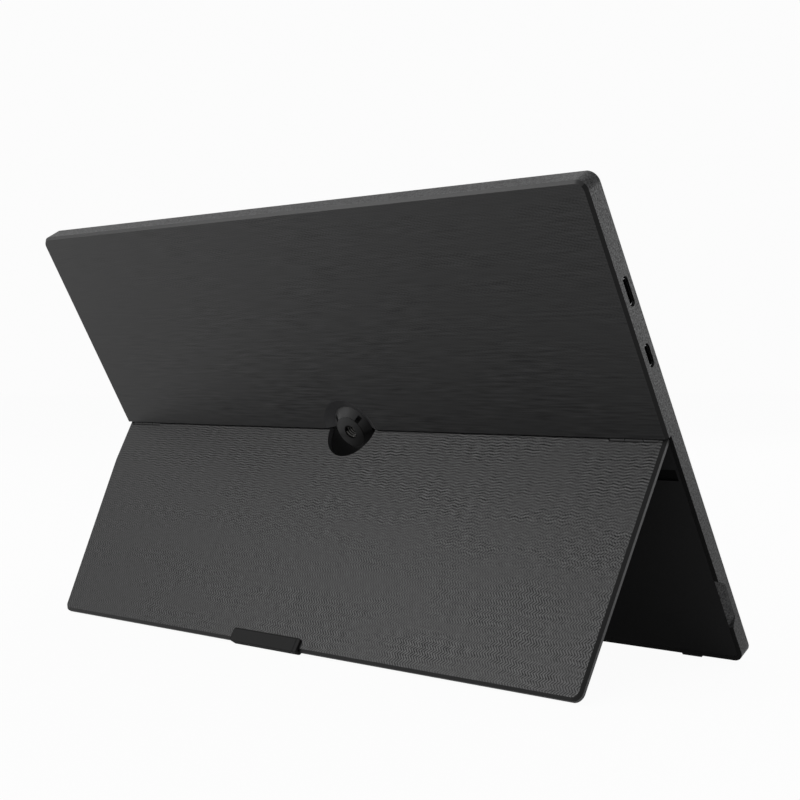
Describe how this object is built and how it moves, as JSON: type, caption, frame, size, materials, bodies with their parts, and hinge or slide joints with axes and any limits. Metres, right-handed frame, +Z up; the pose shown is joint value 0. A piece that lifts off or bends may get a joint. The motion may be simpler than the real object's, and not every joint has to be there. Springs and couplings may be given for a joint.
{
  "type": "portable monitor",
  "caption": "Slim portable display on a full-width folding kickstand, with flush hinges, a tripod socket, side ports and side buttons.",
  "frame": {"origin": "middle of the footprint on the table, with the stand open as in the picture", "axes": "+X across the width, with the ports at -X; the screen faces -Y and leans back; +Z up"},
  "size_m": [0.36, 0.1228, 0.2027],
  "materials": {
    "frame_paint": "dark grey paint with a fine metallic grain",
    "bezel_black": "fine matte",
    "display_glass": "anti-glare, unlit",
    "light_guide": "white, semi-matte",
    "sheet_aluminium": "rolled sheet",
    "board": "solder mask",
    "flat_cable": "film",
    "plated_steel": "nickel plated",
    "textured_black": "fine wavy lines, satin",
    "case_black": "fine matte",
    "boss_black": "satin",
    "insert_metal": "turned",
    "hinge_steel": "dark oxide",
    "screw_steel": "dark zinc",
    "rubber_black": "soft, matte",
    "pin_steel": "ground",
    "rubber_grey": "soft, matte"
  },
  "bodies": {
    "monitor": {"side_frame": "frame_paint", "front_bezel": "bezel_black", "lcd_panel": "display_glass", "backlight_unit": "light_guide", "chassis_plate": "sheet_aluminium", "main_board": "board", "timing_board": "board", "panel_cable": "flat_cable", "video_socket": "plated_steel", "data_socket": "plated_steel", "button_board": "board", "upper_cover": "textured_black", "lower_case": "case_black", "tripod_boss": "boss_black", "tripod_insert": "insert_metal", "hinge_bracket_left": "hinge_steel", "hinge_bracket_right": "hinge_steel", "bracket_screws": "screw_steel", "monitor_feet": "rubber_black"},
    "stand": {"stand_tray": "frame_paint", "stand_cover": "textured_black", "stand_pad": "rubber_grey", "hinge_leaf_left": "hinge_steel", "hinge_leaf_right": "hinge_steel", "hinge_pin_left": "pin_steel", "hinge_pin_right": "pin_steel", "leaf_screws": "screw_steel"},
    "power": {"power_button": "frame_paint"},
    "menu": {"menu_button": "frame_paint"},
    "select": {"select_button": "frame_paint"}
  },
  "joints": [
    {"name": "stand_hinge", "type": "hinge", "parent": "monitor", "child": "stand", "pos_m": [0, 0.00042, 0.09782], "axis": [1, 0, 0], "range_deg": [-60.5, 29.5]},
    {"name": "select_press", "type": "slide", "parent": "monitor", "child": "select", "axis": [-1, 0, 0], "range_m": [0, 0.0005], "stiffness_N_per_m": 3000, "springref_m": -0.00015},
    {"name": "menu_press", "type": "slide", "parent": "monitor", "child": "menu", "axis": [-1, 0, 0], "range_m": [0, 0.0005], "stiffness_N_per_m": 3000, "springref_m": -0.00015},
    {"name": "power_press", "type": "slide", "parent": "monitor", "child": "power", "axis": [-1, 0, 0], "range_m": [0, 0.0005], "stiffness_N_per_m": 3000, "springref_m": -0.00015}
  ]
}
